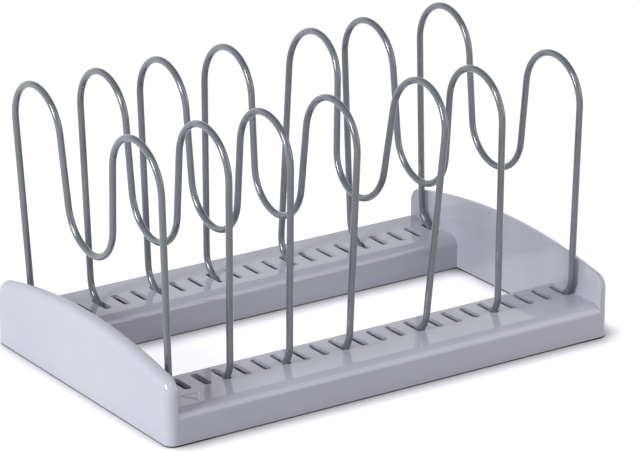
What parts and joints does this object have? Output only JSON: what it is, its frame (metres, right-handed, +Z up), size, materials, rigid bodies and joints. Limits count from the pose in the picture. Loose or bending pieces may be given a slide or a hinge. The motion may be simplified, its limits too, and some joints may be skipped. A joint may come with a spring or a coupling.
{
  "type": "pot lid rack",
  "caption": "Moulded base with slotted rails between arched end panels; bent wire dividers stand in the slots and hold pot lids on edge.",
  "frame": {"origin": "middle of the footprint, on the table", "axes": "+X along the rack to the right, +Y from front to rear, +Z up"},
  "size_m": [0.2992, 0.1906, 0.1659],
  "materials": {
    "base_plastic": "smooth glossy light blue-grey moulding",
    "wire_coating": "smooth satin blue-grey coating on steel wire",
    "foot_rubber": "soft matt grey rubber"
  },
  "bodies": {
    "root": {"base": "base_plastic", "foot_front_left": "foot_rubber", "foot_front_right": "foot_rubber", "foot_rear_left": "foot_rubber", "foot_rear_right": "foot_rubber", "divider_1": "wire_coating", "divider_2": "wire_coating", "divider_3": "wire_coating", "divider_4": "wire_coating", "divider_5": "wire_coating", "divider_6": "wire_coating", "divider_7": "wire_coating"}
  },
  "joints": []
}
